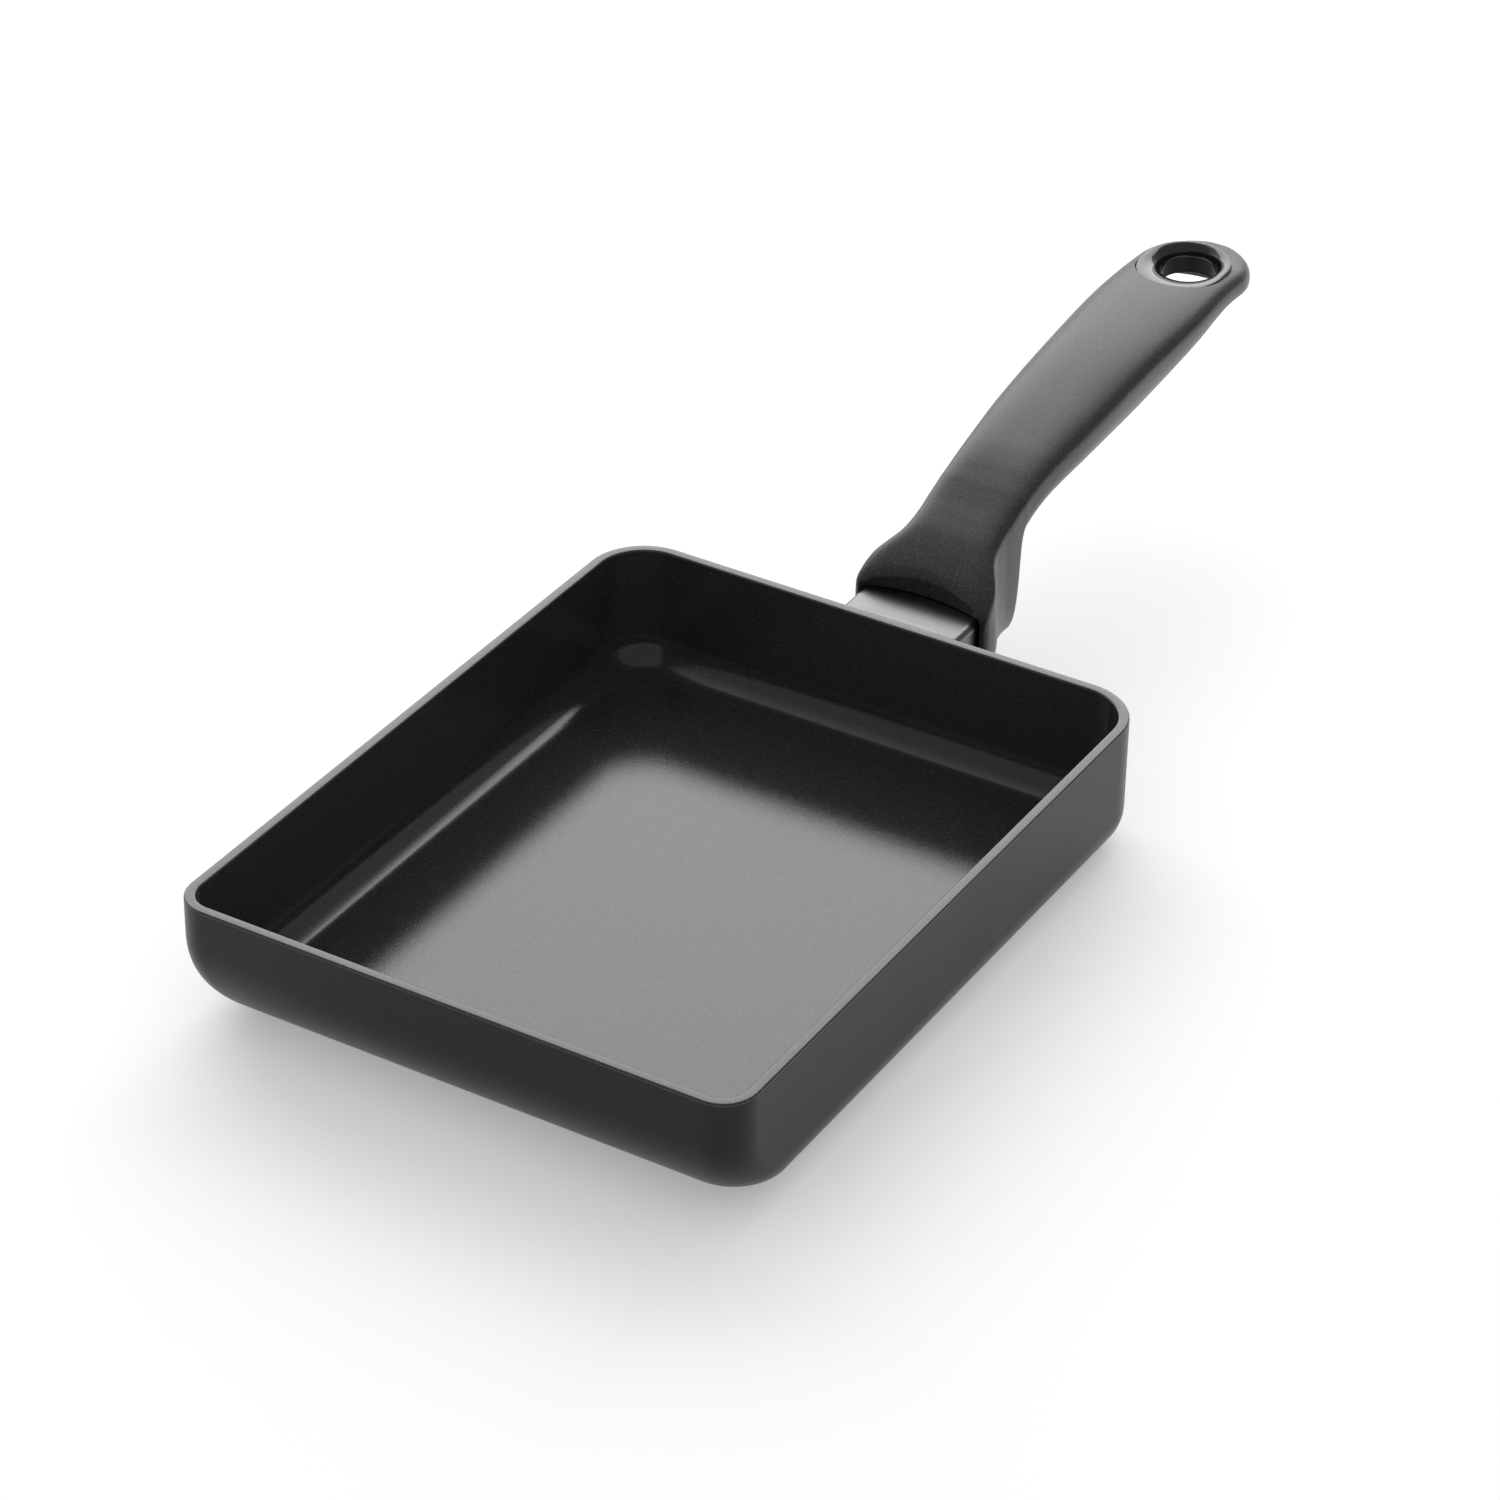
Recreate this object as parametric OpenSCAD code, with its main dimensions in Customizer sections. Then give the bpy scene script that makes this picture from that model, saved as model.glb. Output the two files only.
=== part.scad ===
// Rectangular omelette pan: pressed pan body, bonded induction base and a
// moulded grip held on a die-cast bracket by one screw from underneath.
// Millimetres. X runs across the pan, Y towards the grip, Z up. The origin is
// the middle of the underside of the pan. The far end is the end away from
// the grip.

/* [Pan body] */
// Width over the rim
pan_w = 140; // [125:1:160]
// Length over the rim, without the handle
pan_l = 180; // [160:1:210]
// Height from the underside to the rim
pan_h = 33.4; // [31:0.2:40]
// Thickness of the walls
wall_t = 2.6; // [2:0.1:3]
// Thickness of the cooking floor
floor_t = 3.2; // [2.8:0.1:4]
// Plan radius of the two corners by the handle
back_corner_r = 14.5; // [13:0.5:18]
// Plan radius of the two corners at the far end
front_corner_r = 8.2; // [7:0.2:10]
// Radius between the floor and the sides and back
side_toe_r = 10; // [7:0.5:10]
// Radius between the floor and the far end, where the omelette slides out
front_toe_r = 24; // [16:1:26]
// How much the far corners open per millimetre that the far toe runs inward
corner_open = 0.55; // [0.4:0.05:0.6]
// Rounding of the rim edges
rim_r = 0.5; // [0.2:0.1:0.8]

/* [Induction base] */
// Width of the bonded plate
base_w = 104; // [90:1:108]
// Length of the bonded plate
base_l = 128; // [110:1:132]
// Thickness of the plate, flush with the underside
base_t = 0.8; // [0.5:0.1:1]
// Corner radius of the plate
base_r = 12; // [6:1:16]
// Diameter of the perforations that the body fills
peg_d = 6; // [4:0.5:8]
// Distance between perforations
peg_pitch = 15; // [12:1:16]

/* [Bracket] */
// Width of the bar that the photo shows between rim and grip
bar_w = 31; // [29:0.5:31.5]
// Height of the bar
bar_h = 8.5; // [7.8:0.1:8.8]
// Distance from the rim down to the flat top of the bar
bar_drop = 6.2; // [5.8:0.1:6.8]
// Radius of the shoulders of the bar
bar_r = 1.8; // [1.2:0.2:2.6]
// Length of the wide part of the bar
bar_l = 23.5; // [23:0.25:24]
// Width of the tongue inside the grip
tongue_w = 18; // [16:0.5:19]
// Thickness of the tongue
tongue_t = 6; // [5.75:0.25:6.5]
// Distance from the wall to the end of the tongue
tongue_l = 39; // [38:0.5:40]
// Thickness of the flange against the wall
flange_t = 2.5; // [2:0.1:3]
// Width of the flange
flange_w = 34; // [32:1:40]

/* [Grip] */
// Distance from the wall to the middle of the arched mouth
mouth_gap = 21.4; // [21.2:0.2:22.6]
// Radius of the arch of the mouth, seen from above
mouth_arch_r = 48; // [40:1:60]
// Distance from the wall to the end of the grip
grip_reach = 171; // [167:0.5:175]
// Half width of the widest part of the grip
grip_half_w = 15.1; // [14.5:0.1:16]
// Depth of the fully rounded end
grip_end_l = 16.8; // [15:0.1:18]

/* [Hanging eyelet] */
// Distance from the wall to the middle of the eyelet
eyelet_y = 150; // [148:0.5:152]
// Width of the oval collar
eyelet_w = 22.5; // [21:0.25:23]
// Length of the oval collar
eyelet_l = 25.5; // [24:0.25:27]
// Diameter of the hanging hole
hang_d = 14; // [13:0.5:14.5]
// How far the hanging hole sits behind the middle of the collar
hole_y = 3; // [2:0.25:3]
// Depth of the rounded cup above the hanging hole
cup_h = 3.4; // [3:0.1:3.8]
// Slope of the collar towards the end of the grip, in degrees
eyelet_tilt = 2; // [0:0.5:4]

/* [Fasteners] */
// Thread diameter of the weld studs
stud_d = 4; // [4:1:5]
// Distance between the two weld studs
stud_gap = 22; // [20:0.5:23]
// Height of the weld studs above the underside
stud_z = 14.4; // [14:0.1:14.6]
// Thread diameter of the grip screw
screw_d = 5; // [4:1:5]
// Head diameter of the grip screw
screw_head_d = 9; // [8:0.5:9.5]
// Distance from the wall to the grip screw
screw_y = 32; // [31:0.5:32.5]

/* [Clearances] */
// Gap around the bar in the mouth of the grip
mouth_play = 1; // [0.6:0.1:1.2]
// Gap around the tongue in the grip
socket_gap = 0.4; // [0.2:0.05:0.5]
// Gap around the square nut in the tongue
nut_gap = 0.15; // [0.1:0.05:0.25]
// Gap around bolts in their holes
bolt_gap = 0.25; // [0.15:0.05:0.4]
// Gap around the eyelet and the plug in the grip
insert_gap = 0.15; // [0.1:0.05:0.2]
// Gap around the bonded plate and its pegs
bond_gap = 0.05; // [0.03:0.01:0.1]

/* [Hidden] */
$fn = 64;

// Pan
wall_y = pan_l / 2;               // outer face of the wall by the handle
corner_steps = 7;                 // facets of a quarter corner
toe_steps = 10;                   // facets of the far toe
base_y = (front_toe_r - side_toe_r) / 2;   // middle of the flat underside
peg_cols = 6;
peg_rows = 8;

// Bracket
bar_top = pan_h - bar_drop;
bar_z = bar_top - bar_h;
flange_z = 10.6;                  // above the rounded toe of the wall
tongue_z = bar_z + 0.5;           // underside of the tongue
tongue_top = tongue_z + tongue_t;

// Studs, washers and nuts
collar_d = stud_d + 3;            // weld collar
collar_t = 1;
washer_t = 0.8;
stud_washer_d = 8;
stud_nut_af = 7;
stud_nut_t = 3.2;
stud_l = flange_t + washer_t + stud_nut_t + 1.3;

// Grip screw, from underneath: plug, head, washer, grip, tongue with its nut
seat_z = tongue_z - 2.4;          // seat of the washer inside the grip
screw_washer_t = 1;
screw_washer_d = 10;
head_t = 2.8;
head_z = seat_z - screw_washer_t - head_t;
square_nut_w = 8;
square_nut_t = 4;
nut_z = tongue_top - square_nut_t - nut_gap;   // floor of the nut's pocket
screw_top = tongue_top + 0.9;
counterbore_d = screw_washer_d + 2 * bolt_gap;

// Grip stations, from the wall: [y, half width, top, underside,
// squareness of the upper half, squareness of the lower half]
GRIP = [
    [17,   18.1, pan_h - 4.3,  pan_h - 19.8, 5,   8],     // lip of the mouth
    [24,   17.3, pan_h + 1,    pan_h - 20.5, 5.6, 8],
    [31,   13.7, pan_h + 5.1,  pan_h - 21.7, 6,   8],     // guard
    [37,   12.4, pan_h + 7.6,  pan_h - 22.4, 6,   8],
    [41,   12.2, pan_h + 9.1,  pan_h - 22.9, 6,   8],
    [43.5, 12.1, pan_h + 10.1, pan_h - 22.6, 6,   8],
    [45,   12,   pan_h + 10.7, pan_h - 18.8, 6,   6],     // back of the guard
    [46,   11.9, pan_h + 11.1, pan_h - 9,    6,   4],
    [47.5, 11.9, pan_h + 11.7, pan_h - 2.6,  5.8, 3],
    [50,   11.9, pan_h + 12.6, pan_h - 1,    5.4, 2.6],   // neck
    [55,   12.1, pan_h + 14.3, pan_h + 0.8,  4.6, 2.4],
    [62,   12.5, pan_h + 16.2, pan_h + 1.6,  3.8, 2.2],
    [80,   13.7, pan_h + 19.9, pan_h + 2.4,  2.7, 2.1],
    [105,  grip_half_w - 0.7, pan_h + 23.5, pan_h + 4.3,  2.3, 2.2],
    [130,  grip_half_w,       pan_h + 25.2, pan_h + 9.6,  2.5, 2.3],
    [150,  grip_half_w - 0.6, pan_h + 25.2, pan_h + 15.4, 3.1, 2.5],
    [171,  grip_half_w - 0.4, pan_h + 22.9, pan_h + 12.7, 3.3, 2.5]];
section_steps = 28;               // points round a section of the grip
upper_h = 5;                      // depth of the upper half of a section

// Eyelet
eyelet_top = pan_h + 24.9;        // top of the collar at its middle
eyelet_h = cup_h + 4.2;           // down to the end of the hanging hole
collar_h = 1.6;
barrel_d = hang_d + 3;
cup_land = 0.4;                   // flat edge left round the cup
cup_step = 0.3;                   // ledge between the cup and the hole
cup_steps = 8;
cup_points = 40;                  // points round the cup
pocket_w = 20;                    // open pocket under the eyelet
pocket_l = 26;
pocket_y = -0.5;                  // from the hole to the middle of the pocket

// Shared shapes

// Closed solid through rings of equal length, first ring to last ring
module loft(rings) {
    n = len(rings[0]);
    m = len(rings);
    points = [for (r = rings) each r];
    sides = [for (k = [0 : m - 2], i = [0 : n - 1])
        let (a = k * n + i, b = k * n + (i + 1) % n)
        each [[a, a + n, b], [b, a + n, b + n]]];
    caps = [[for (i = [0 : n - 1]) i],
            [for (i = [n - 1 : -1 : 0]) (m - 1) * n + i]];
    polyhedron(points, concat(sides, caps), convexity = 6);
}

// Flat plate with round corners, centred in X and Y, from z = 0 up
module round_plate(w, l, h, r) {
    linear_extrude(h) {
        square([w - 2 * r, l], center = true);
        square([w, l - 2 * r], center = true);
        for (x = [-1, 1], y = [-1, 1])
            translate([x * (w / 2 - r), y * (l / 2 - r)]) circle(r);
    }
}

// Bar along Y with a section w wide and h high that has round corners
module round_bar(w, h, l, r) {
    translate([0, l, h / 2]) rotate([90, 0, 0]) round_plate(w, h, l, r);
}

// Slot-shaped block centred in X and Y, its long side along Y
module oval_block(w, l, h) {
    linear_extrude(h) {
        square([w, l - w], center = true);
        for (s = [-1, 1]) translate([0, s * (l - w) / 2]) circle(d = w);
    }
}

// Block with a square plan w wide, centred in X and Y
module square_block(w, h) {
    translate([-w / 2, -w / 2, 0]) cube([w, w, h]);
}

module hexagon(af, h) { cylinder(d = af / cos(30), h = h, $fn = 6); }

// Pan

// How far a wall stands inward at height z above its floor, toe radius r
function toe(r, z) = z >= r ? 0 : r - sqrt(max(0, r * r - (r - z) * (r - z)));

// Rounded rectangle with its own radii by the handle (rb) and far away (rf)
function pan_ring(x, yb, yf, rb, rf, z) = [
    for (c = [[1, 1, 0], [-1, 1, 90], [-1, -1, 180], [1, -1, 270]])
        let (r = c[1] > 0 ? rb : rf, y = c[1] > 0 ? yb : yf)
        for (i = [0 : corner_steps])
            let (t = c[2] + 90 * i / corner_steps)
            [c[0] * (x - r) + r * cos(t), c[1] * (y - r) + r * sin(t), z]];

// Ring of the body skin that lies t inside the outer skin, z above its floor
function skin(t, z, z0, edge = 0) =
    let (s = toe(side_toe_r - t, z), f = toe(front_toe_r - t, z))
    pan_ring(pan_w / 2 - t - s - edge, pan_l / 2 - t - s - edge,
             pan_l / 2 - t - f - edge,
             back_corner_r - t - s - edge,
             front_corner_r - t - s + corner_open * f - edge, z0 + z);

function toe_levels(t) = [for (k = [0 : toe_steps])
    (front_toe_r - t) * (1 - cos(90 * k / toe_steps))];

module pan_outside() {
    loft(concat([for (z = toe_levels(0)) skin(0, z, 0)],
                [skin(0, pan_h - rim_r, 0),
                 skin(0, pan_h - 0.3 * rim_r, 0, 0.3 * rim_r),
                 skin(0, pan_h, 0, rim_r)]));
}

module pan_inside() {
    depth = pan_h - floor_t;
    loft(concat([for (z = toe_levels(wall_t)) skin(wall_t, z, floor_t)],
                [skin(wall_t, depth - rim_r, floor_t),
                 skin(wall_t, depth - 0.3 * rim_r, floor_t, -0.3 * rim_r),
                 skin(wall_t, depth, floor_t, -rim_r),
                 skin(wall_t, depth + 1, floor_t, -rim_r)]));
}

module base_pegs(d, h) {
    for (i = [0 : peg_cols - 1], j = [0 : peg_rows - 1])
        translate([(i - (peg_cols - 1) / 2) * peg_pitch,
                   base_y + (j - (peg_rows - 1) / 2) * peg_pitch, 0])
            cylinder(d = d, h = h, $fn = 24);
}

module pan_body() {
    color([0.2, 0.2, 0.2]) {
        difference() {
            pan_outside();
            pan_inside();
            translate([0, base_y, -1])
                round_plate(base_w, base_l, base_t + 1, base_r);
        }
        base_pegs(peg_d, base_t + 0.4);
    }
}

module induction_base() {
    color([0.7, 0.7, 0.7])
    difference() {
        translate([0, base_y, 0])
            round_plate(base_w - 2 * bond_gap, base_l - 2 * bond_gap,
                        base_t, base_r - bond_gap);
        translate([0, 0, -1]) base_pegs(peg_d + 2 * bond_gap, base_t + 2);
    }
}

// Bracket and its studs

// Places its children at both studs, with Z pointing away from the wall
module at_studs(y = 0) {
    for (s = [-1, 1])
        translate([s * stud_gap / 2, wall_y + y, stud_z])
            rotate([-90, 0, 0]) children();
}

module weld_studs() {
    color([0.75, 0.75, 0.75]) at_studs() {
        cylinder(d = collar_d, h = collar_t);
        cylinder(d = stud_d, h = stud_l);
    }
}

module stud_washers() {
    color([0.75, 0.75, 0.75]) at_studs(flange_t)
    difference() {
        cylinder(d = stud_washer_d, h = washer_t);
        translate([0, 0, -1])
            cylinder(d = stud_d + bolt_gap, h = washer_t + 2);
    }
}

module stud_nuts() {
    color([0.7, 0.7, 0.7]) at_studs(flange_t + washer_t)
    difference() {
        hexagon(stud_nut_af, stud_nut_t);
        translate([0, 0, -1])
            cylinder(d = stud_d + 0.1, h = stud_nut_t + 2);
    }
}

module handle_bracket() {
    color([0.6, 0.6, 0.6])
    difference() {
        union() {
            // flange on the wall
            translate([0, wall_y, flange_z])
                round_bar(flange_w, bar_top - flange_z, flange_t, 3);
            // wide bar
            translate([0, wall_y, bar_z]) round_bar(bar_w, bar_h, bar_l, bar_r);
            // tongue in the grip
            translate([0, wall_y + bar_l - 4, tongue_z])
                round_bar(tongue_w, tongue_t, tongue_l - bar_l + 4, 1.5);
        }
        // studs and their weld collars
        at_studs(-1) {
            cylinder(d = stud_d + 2 * bolt_gap, h = flange_t + 2);
            cylinder(d = collar_d + 2 * bolt_gap, h = collar_t + 1.2);
        }
        // grip screw and its square nut
        translate([0, wall_y + screw_y, tongue_z - 1])
            cylinder(d = screw_d + 2 * bolt_gap, h = tongue_t + 2);
        translate([0, wall_y + screw_y, nut_z]) square_block(square_nut_w + 2 * nut_gap, 6);
    }
}

// Grip

// Smooth curve through column c of the stations at y, by cubic Hermite
function slope(c, i) = let (n = len(GRIP) - 1, a = max(i - 1, 0), b = min(i + 1, n))
    (GRIP[b][c] - GRIP[a][c]) / (GRIP[b][0] - GRIP[a][0]);
function span(y, i = 0) = i >= len(GRIP) - 2 || y < GRIP[i + 1][0] ? i : span(y, i + 1);
function grip(c, y) =
    let (i = span(y), h = GRIP[i + 1][0] - GRIP[i][0], t = (y - GRIP[i][0]) / h,
         t2 = t * t, t3 = t2 * t)
    (2 * t3 - 3 * t2 + 1) * GRIP[i][c] + (t3 - 2 * t2 + t) * h * slope(c, i)
    + (3 * t2 - 2 * t3) * GRIP[i + 1][c] + (t3 - t2) * h * slope(c, i + 1);

function spow(v, p) = sign(v) * pow(abs(v), p);

// Section of the grip at y: a squared oval, with sides that close to the
// share q of their width and to the share v of their height
function grip_ring(y, q = 1, v = 1) =
    let (a = grip(1, y) * q, top = grip(2, y), low = grip(3, y),
         nu = grip(4, y), nl = grip(5, y),
         m = top - upper_h, mid = (top + low) / 2)
    [for (i = [0 : section_steps - 1])
        let (t = 360 - 360 * i / section_steps, n = sin(t) >= 0 ? nu : nl,
             z = m + spow(sin(t), 2 / n) * (sin(t) >= 0 ? upper_h : m - low))
        [a * spow(cos(t), 2 / n), wall_y + y, mid + (z - mid) * v]];

module grip_outside() {
    y_end = grip_reach - grip_end_l;
    body = [for (y = [17, 19, 21, 23, 25, 27, 29, 31, 33, 35, 37, 39, 41, 42,
                      42.8, 43.5, 44, 44.5, 45, 45.4, 45.8, 46.2, 46.8, 47.5,
                      48.5, 50, 52.5, 56, 60, 66, 73, 81, 90, 100, 110, 120,
                      130, 138, 145]) if (y < y_end - 3) y];
    end = [0, 14, 28, 42, 54, 64, 73, 80, 86];
    loft(concat([for (y = body) grip_ring(y)],
                [for (t = end) grip_ring(y_end + grip_end_l * sin(t), cos(t),
                                         pow(cos(t), 0.2))]));
}

module grip_socket() {
    // loose round the bar
    translate([0, wall_y + 10, bar_z - mouth_play])
        round_bar(bar_w + 2 * mouth_play, bar_h + 2 * mouth_play,
                  bar_l - 10 + socket_gap, bar_r);
    // close round the tongue, which rests on the socket's floor
    translate([0, wall_y + bar_l - 1, tongue_z])
        round_bar(tongue_w + 2 * socket_gap, tongue_t + socket_gap,
                  tongue_l - bar_l + 1 + socket_gap, 1);
}

module grip_screw_way() {
    translate([0, wall_y + screw_y, 0]) {
        cylinder(d = counterbore_d, h = seat_z);
        cylinder(d = screw_d + 2 * bolt_gap, h = screw_top + 1);
    }
}

// Frame of the eyelet: its children stand on the middle of the collar's top,
// with Z along the hanging hole
module at_eyelet() {
    translate([0, wall_y + eyelet_y, eyelet_top]) rotate([eyelet_tilt, 0, 0])
        children();
}

// Outer form of the eyelet, grown by gap, with a collar that runs over upward
module eyelet_form(gap, over = 0) {
    translate([0, 0, -collar_h - gap])
        oval_block(eyelet_w + 2 * gap, eyelet_l + 2 * gap, collar_h + gap + over);
    translate([0, hole_y, -eyelet_h])
        cylinder(d = barrel_d + 2 * gap, h = eyelet_h - collar_h / 2);
}

// Pocket in the underside of the grip, up to the end of the hanging hole
module eyelet_pocket() {
    depth = 12;
    translate([0, hole_y + pocket_y, -eyelet_h - depth]) oval_block(pocket_w, pocket_l, depth);
}

module handle_grip() {
    color([0.32, 0.32, 0.32])
    difference() {
        grip_outside();
        // arched mouth
        translate([0, wall_y + mouth_gap - mouth_arch_r, 0])
            cylinder(r = mouth_arch_r, h = 2 * pan_h, $fn = 128);
        grip_socket();
        grip_screw_way();
        at_eyelet() {
            eyelet_form(insert_gap, 6);
            eyelet_pocket();
        }
    }
}

// Fasteners of the grip

module bracket_nut() {
    color([0.7, 0.7, 0.7])
    translate([0, wall_y + screw_y, nut_z])
    difference() {
        square_block(square_nut_w, square_nut_t);
        translate([0, 0, -1]) cylinder(d = screw_d + 0.1, h = square_nut_t + 2);
    }
}

module handle_screw() {
    color([0.7, 0.7, 0.7])
    translate([0, wall_y + screw_y, 0])
    difference() {
        union() {
            translate([0, 0, head_z]) cylinder(d = screw_head_d, h = head_t);
            translate([0, 0, head_z]) cylinder(d = screw_d, h = screw_top - head_z);
        }
        // hexagon socket
        translate([0, 0, head_z - 1]) hexagon(3, 2.8);
    }
}

module screw_washer() {
    color([0.7, 0.7, 0.7])
    translate([0, wall_y + screw_y, seat_z - screw_washer_t])
    difference() {
        cylinder(d = screw_washer_d, h = screw_washer_t);
        translate([0, 0, -1])
            cylinder(d = screw_d + bolt_gap, h = screw_washer_t + 2);
    }
}

module screw_plug() {
    d = counterbore_d - 2 * insert_gap;
    color([0.12, 0.12, 0.12])
    translate([0, wall_y + screw_y, head_z])
    rotate_extrude()
        polygon([[0, -1.4], [d / 2 - 0.4, -1.4], [d / 2, -1], [d / 2, 0],
                 [d / 2 - 1, 0], [d / 2 - 1, -0.4], [0, -0.4]]);
}

// Ring of the cup where its rounded wall has turned by t degrees, at height z
function cup_ring(t, z) =
    let (top = eyelet_w / 2 - cup_land, low = hang_d / 2 + cup_step,
         r = top - (top - low) * sin(t),
         s = (eyelet_l - eyelet_w) / 2 * (1 - sin(t)))
    [for (i = [0 : cup_points - 1])
        let (a = 360 * (i + 0.5) / cup_points)
        [r * cos(a), hole_y * sin(t) + r * sin(a) + sign(sin(a)) * s, z]];

module hanging_eyelet() {
    color([0.05, 0.05, 0.05])
    at_eyelet()
    difference() {
        eyelet_form(0);
        // rounded cup from the bottom up, then clear above the collar
        loft(concat([for (k = [cup_steps : -1 : 0])
                        let (t = 90 * k / cup_steps)
                        cup_ring(t, cup_h * (cos(t) - 1))],
                    [cup_ring(0, 1)]));
        translate([0, hole_y, -eyelet_h - 1])
            cylinder(d = hang_d, h = eyelet_h - cup_h + 1.5);
    }
}

pan_body();
induction_base();
weld_studs();
stud_washers();
stud_nuts();
handle_bracket();
bracket_nut();
handle_grip();
handle_screw();
screw_washer();
screw_plug();
hanging_eyelet();
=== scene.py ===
"""Rectangular omelette pan in its studio: smooth surfaces for the pan body, the
grip and the hanging eyelet, finishes for every piece, camera, floor, softbox and
backdrop. Lengths of the pan are written in millimetres and put into its meshes in
metres, and the studio is written in metres."""

import math

import bmesh
import bpy
import numpy as np
from mathutils import Matrix


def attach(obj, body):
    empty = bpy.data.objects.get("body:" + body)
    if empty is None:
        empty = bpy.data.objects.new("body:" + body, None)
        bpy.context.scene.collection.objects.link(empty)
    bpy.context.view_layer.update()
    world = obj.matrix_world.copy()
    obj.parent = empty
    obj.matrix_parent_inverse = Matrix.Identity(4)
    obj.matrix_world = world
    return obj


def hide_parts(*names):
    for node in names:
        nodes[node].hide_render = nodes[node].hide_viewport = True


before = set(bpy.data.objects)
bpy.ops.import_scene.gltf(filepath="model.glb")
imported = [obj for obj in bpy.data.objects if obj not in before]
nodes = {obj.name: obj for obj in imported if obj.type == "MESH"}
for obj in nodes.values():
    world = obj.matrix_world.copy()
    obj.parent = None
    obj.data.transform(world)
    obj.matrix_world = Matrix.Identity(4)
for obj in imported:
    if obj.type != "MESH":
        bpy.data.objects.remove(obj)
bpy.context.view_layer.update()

MM = 0.001

# Pan body: size, thickness, corners seen from above, the quarter circles between
# wall and floor, how much of the far one opens its corners, rounding of the rim
PAN_W = 140.0
PAN_L = 180.0
PAN_H = 33.4
WALL_T = 2.6
FLOOR_T = 3.2
BACK_R = 14.5
FAR_R = 8.2
SIDE_TOE = 10.0
FAR_TOE = 24.0
CORNER_OPEN = 0.55
RIM_R = 0.5
WALL_Y = PAN_L / 2

# Its rings: turns of a corner, shares of the cooking floor and of the plain wall, how
# far the wall's rings stay below the rim, least step in height, and the distance
# from a bend of the rings that hold its shading
CORNER_TURN = np.linspace(0, 90, 15)
FLOOR_SHARES = (0.25, 0.6, 0.9, 0.985)
WALL_SHARES = np.array([0.45, 0.9])
RIM_BAND = 1.2
MIN_STEP = 0.02
HOLD = 0.4
RIM_HOLD = 0.35

# Recess for the bonded plate in the underside, and the pegs that fill its holes
PLATE_W = 104.0
PLATE_L = 128.0
PLATE_T = 0.8
PLATE_R = 12.0
PLATE_Y = 7.0
PEG_R = 3.0
PEG_SINK = 0.4
PEG_PITCH = 15.0
PEG_COLS = 6
PEG_ROWS = 8

# Mouth of the grip: gap to the wall in the middle, radius of its arch seen from above,
# rounding of its lip, distance where plain sections begin, and the first guess and the
# number of passes that find the arch on the grip's skin
MOUTH_GAP = 21.4
ARCH_R = 48.0
LIP_R = 1.8
PLAIN_Y = 33.0
ARCH_GUESS = 19.0
ARCH_PASSES = 12

# Socket of the grip, close round the bar and round the tongue: half width, half height
# and middle above the pan's underside; its squareness and where both parts end
BAR_SOCKET = (15.75, 4.5, 22.95)
TONGUE_SOCKET = (9.4, 3.2, 22.4)
SOCKET_SQUARE = 9.0
BAR_END = 23.9
TONGUE_END = 39.4

# Grip stations from the wall: distance, half width, top and underside above
# the rim, squareness of the upper and of the lower half, lean of each side inward
GRIP = np.array([
    [17, 18.1, -4.3, -19.8, 5, 8, 0],
    [24, 17.3, 1, -20.5, 5.6, 8, 0.6],
    [31, 13.7, 5.1, -21.7, 6, 8, 1.1],
    [37, 12.4, 7.6, -22.4, 6, 8, 0.7],
    [41, 12.2, 9.1, -22.9, 6, 8, 0.4],
    [43.5, 12.1, 10.1, -22.6, 6, 8, 0.3],
    [45, 12, 10.7, -18.8, 6, 6, 0.2],
    [46, 11.9, 11.1, -9, 6, 4, 0.1],
    [47.5, 11.9, 11.7, -2.6, 5.8, 3, 0],
    [50, 11.9, 12.6, -1, 5.4, 2.6, 0],
    [55, 12.1, 14.3, 0.8, 4.6, 2.4, 0],
    [62, 12.5, 16.2, 1.6, 3.8, 2.2, 0],
    [80, 13.7, 19.9, 2.4, 2.7, 2.1, 0],
    [105, 14.4, 23.5, 4.3, 2.3, 2.2, 0],
    [130, 15.1, 25.2, 9.6, 2.5, 2.3, 0],
    [150, 14.5, 25.2, 15.4, 3.1, 2.5, 0],
    [171, 14.7, 22.9, 12.7, 3.3, 2.5, 0]])
GRIP_REACH = 170.95
UPPER_H = 5.0

# Plain sections of the grip, closest where its underside steps up, and its rounded
# end: length, turns of its sections, power of cosine that closes them in height
SECTIONS = np.concatenate([np.arange(34, 41.1, 1), np.arange(41.5, 50, 0.3),
                           np.arange(50.5, 62, 1), np.arange(63, 154, 2.5)])
GRIP_END_L = 16.8
END_TURN = np.radians(np.concatenate([np.linspace(0, 80, 25), [83, 85.5, 87.5, 89, 89.8]]))
END_POWER = 0.2

# Hanging eyelet: place, tilt, oval collar and its rounded edge, cup, throat, the hole
# behind the middle, which is narrowest from CHAMFER to LAND above its lower end, barrel
EYE_Y = WALL_Y + 150.0
EYE_Z = PAN_H + 24.9
EYE_TILT = math.radians(2.0)
EYE_W = 22.5
EYE_L = 25.5
EYE_STRAIGHT = (EYE_L - EYE_W) / 2
EYE_EDGE = 0.45
COLLAR_H = 1.6
CUP_H = 3.4
EYE_H = 7.6
HOLE_R = 7.0
THROAT_R = 7.3
HOLE_Y = 3.0
CHAMFER = 0.1
LAND = 0.4
BARREL_R = 8.5

# Cuts in the grip: gap round the eyelet, the oval pocket below it, how far these cuts
# run past the grip's skin above and below, the screw's well, and how close together
# points are merged afterwards
INSERT_GAP = 0.15
POCKET_R = 10.0
POCKET_STRAIGHT = 3.0
POCKET_Y = HOLE_Y - 0.5
CUT_ABOVE = 6.0
CUT_BELOW = 20.0
WELL_R = 5.25
WELL_Y = WALL_Y + 32.0
WELL_LOW = 5.0
WELL_TOP = 16.8
MERGE = 0.003

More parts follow.
